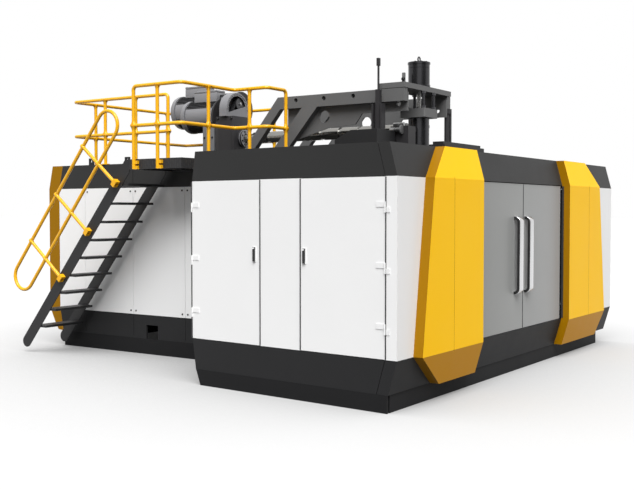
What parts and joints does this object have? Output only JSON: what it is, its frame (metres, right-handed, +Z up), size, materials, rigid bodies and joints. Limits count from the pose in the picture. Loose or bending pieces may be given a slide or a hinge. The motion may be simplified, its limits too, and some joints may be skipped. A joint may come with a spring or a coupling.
{
  "type": "extrusion blow moulding machine",
  "caption": "Two-station blow moulding machine in a guard cabinet with sliding and hinged doors, a roof-mounted extruder and head, and a stair with rails to the roof.",
  "frame": {"origin": "floor point under the centre line of the parison head", "axes": "+Z up, the front with the sliding doors faces -Y, +X to the right seen from the front"},
  "size_m": [6.162, 6.494, 3.72],
  "materials": {
    "plinth_black": "satin black paint",
    "band_black": "satin charcoal paint",
    "band_grey": "satin dark grey paint",
    "panel_white": "semi-gloss white powder coat",
    "pillar_yellow": "semi-gloss yellow powder coat",
    "rail_yellow": "gloss yellow paint",
    "frame_black": "matt black paint",
    "black_steel": "black oxide",
    "door_grey": "satin mid grey",
    "pull_chrome": "polished chrome",
    "handle_black": "moulded black",
    "stair_black": "satin black paint",
    "drive_dark": "dark grey paint",
    "motor_grey": "grey machine enamel",
    "belt_rubber": "moulded rubber",
    "pulley_iron": "turned iron",
    "barrel_steel": "turned steel",
    "heater_steel": "sheet steel bands",
    "arm_grey": "grey machine enamel",
    "head_grey": "dark metallic grey",
    "hood_black": "satin black paint",
    "bed_grey": "grey machine enamel",
    "platen_steel": "machined iron"
  },
  "bodies": {
    "machine": {"arm_plates": "arm_grey", "base_band": "band_black", "belt_guard": "motor_grey", "cabinet_fixings": "black_steel", "cabinet_frame": "frame_black", "clamp_bed": "bed_grey", "drive_belts": "belt_rubber", "drive_stands": "drive_dark", "extruder_arms": "arm_grey", "extruder_barrel": "barrel_steel", "extruder_motors": "motor_grey", "front_panels": "panel_white", "front_pillars": "pillar_yellow", "head_barrel": "head_grey", "head_cylinder": "head_grey", "head_flange": "arm_grey", "head_mast": "drive_dark", "head_tie_rods": "head_grey", "head_valves": "drive_dark", "heater_bands": "heater_steel", "jack_column": "drive_dark", "landing_frame": "stair_black", "landing_rail": "rail_yellow", "plinth": "plinth_black", "rail_fittings": "rail_yellow", "rear_panels": "panel_white", "rear_pillars": "pillar_yellow", "roof_covers": "hood_black", "roof_hood": "hood_black", "roof_rail": "rail_yellow", "roof_sheets": "band_grey", "stair_handrail": "rail_yellow", "stair_stringers": "stair_black", "stair_treads": "stair_black", "top_band": "band_grey", "yoke_plate": "arm_grey"},
    "sliding_leaf_left": {"sliding_door_left": "door_grey", "door_pull_left": "pull_chrome"},
    "sliding_leaf_right": {"sliding_door_right": "door_grey", "door_pull_right": "pull_chrome"},
    "motor_pulley_body": {"motor_pulley": "pulley_iron"},
    "gear_pulley_body": {"gear_pulley": "pulley_iron"},
    "screw_body": {"extruder_screw": "barrel_steel"},
    "mandrel_body": {"head_mandrel": "barrel_steel"},
    "carriage_left_body": {"carriage_left": "bed_grey"},
    "carriage_right_body": {"carriage_right": "bed_grey"},
    "blow_pin_left_body": {"blow_pin_left": "barrel_steel"},
    "blow_pin_right_body": {"blow_pin_right": "barrel_steel"},
    "leaf_left_front": {"side_door_left_front": "panel_white"},
    "lever_left_front": {"swing_handle_left_front": "handle_black"},
    "leaf_left_rear": {"side_door_left_rear": "panel_white"},
    "lever_left_rear": {"swing_handle_left_rear": "handle_black"},
    "leaf_right_front": {"side_door_right_front": "panel_white"},
    "lever_right_front": {"swing_handle_right_front": "handle_black"},
    "leaf_right_rear": {"side_door_right_rear": "panel_white"},
    "lever_right_rear": {"swing_handle_right_rear": "handle_black"},
    "platen_left_outer_body": {"platen_left_outer": "platen_steel"},
    "platen_left_inner_body": {"platen_left_inner": "platen_steel"},
    "platen_right_outer_body": {"platen_right_outer": "platen_steel"},
    "platen_right_inner_body": {"platen_right_inner": "platen_steel"}
  },
  "joints": [
    {"name": "hinge_left_front", "type": "hinge", "parent": "machine", "child": "leaf_left_front", "pos_m": [-2.93852, -1.23233, 1.3], "axis": [0, 0, 1], "range_deg": [0, 110]},
    {"name": "lever_turn_left_front", "type": "hinge", "parent": "leaf_left_front", "child": "lever_left_front", "pos_m": [-2.86727, -0.28941, 1.474], "axis": [-0.9972, 0.0743, 0], "range_deg": [-90, 0]},
    {"name": "hinge_left_rear", "type": "hinge", "parent": "machine", "child": "leaf_left_rear", "pos_m": [-2.75416, 1.24267, 1.3], "axis": [0, 0, -1], "range_deg": [0, 110]},
    {"name": "lever_turn_left_rear", "type": "hinge", "parent": "leaf_left_rear", "child": "lever_left_rear", "pos_m": [-2.81916, 0.35659, 1.474], "axis": [-0.9972, 0.0743, 0], "range_deg": [-90, 0]},
    {"name": "hinge_right_front", "type": "hinge", "parent": "machine", "child": "leaf_right_front", "pos_m": [3.20952, -1.23233, 1.3], "axis": [0, 0, -1], "range_deg": [0, 110]},
    {"name": "lever_turn_right_front", "type": "hinge", "parent": "leaf_right_front", "child": "lever_right_front", "pos_m": [3.13828, -0.28941, 1.474], "axis": [0.9972, 0.0743, 0], "range_deg": [0, 90]},
    {"name": "hinge_right_rear", "type": "hinge", "parent": "machine", "child": "leaf_right_rear", "pos_m": [3.02516, 1.24267, 1.3], "axis": [0, 0, 1], "range_deg": [0, 110]},
    {"name": "lever_turn_right_rear", "type": "hinge", "parent": "leaf_right_rear", "child": "lever_right_rear", "pos_m": [3.09016, 0.35659, 1.474], "axis": [0.9972, 0.0743, 0], "range_deg": [0, 90]},
    {"name": "slide_leaf_left", "type": "slide", "parent": "machine", "child": "sliding_leaf_left", "axis": [-1, 0, 0], "range_m": [0, 1.03]},
    {"name": "slide_leaf_right", "type": "slide", "parent": "machine", "child": "sliding_leaf_right", "axis": [1, 0, 0], "range_m": [0, 1.1]},
    {"name": "motor_spin", "type": "hinge", "parent": "machine", "child": "motor_pulley_body", "pos_m": [0, 2.9, 3.177], "axis": [0, 1, 0], "continuous": true},
    {"name": "gear_spin", "type": "hinge", "parent": "machine", "child": "gear_pulley_body", "pos_m": [0.09, 2.9, 3.335], "axis": [0, 1, 0], "continuous": true},
    {"name": "screw_spin", "type": "hinge", "parent": "machine", "child": "screw_body", "pos_m": [0, 1.5, 2.845], "axis": [0, 1, 0], "continuous": true},
    {"name": "mandrel_stroke", "type": "slide", "parent": "machine", "child": "mandrel_body", "axis": [0, 0, 1], "range_m": [0, 0.03]},
    {"name": "carriage_travel_left", "type": "slide", "parent": "machine", "child": "carriage_left_body", "axis": [1, 0, 0], "range_m": [0, 1.45]},
    {"name": "platen_close_left_outer", "type": "slide", "parent": "carriage_left_body", "child": "platen_left_outer_body", "axis": [1, 0, 0], "range_m": [0, 0.25]},
    {"name": "platen_close_left_inner", "type": "slide", "parent": "carriage_left_body", "child": "platen_left_inner_body", "axis": [-1, 0, 0], "range_m": [0, 0.25]},
    {"name": "blow_pin_stroke_left", "type": "slide", "parent": "machine", "child": "blow_pin_left_body", "axis": [0, 0, -1], "range_m": [0, 0.3]},
    {"name": "carriage_travel_right", "type": "slide", "parent": "machine", "child": "carriage_right_body", "axis": [1, 0, 0], "range_m": [-1.45, 0]},
    {"name": "platen_close_right_outer", "type": "slide", "parent": "carriage_right_body", "child": "platen_right_outer_body", "axis": [-1, 0, 0], "range_m": [0, 0.25]},
    {"name": "platen_close_right_inner", "type": "slide", "parent": "carriage_right_body", "child": "platen_right_inner_body", "axis": [1, 0, 0], "range_m": [0, 0.25]},
    {"name": "blow_pin_stroke_right", "type": "slide", "parent": "machine", "child": "blow_pin_right_body", "axis": [0, 0, -1], "range_m": [0, 0.3]}
  ],
  "couplings": [
    {"joint": "gear_spin", "follows": "motor_spin", "ratio": 0.88235},
    {"joint": "screw_spin", "follows": "motor_spin", "ratio": 0.05},
    {"joint": "platen_close_left_inner", "follows": "platen_close_left_outer", "ratio": 1},
    {"joint": "platen_close_right_inner", "follows": "platen_close_right_outer", "ratio": 1}
  ]
}
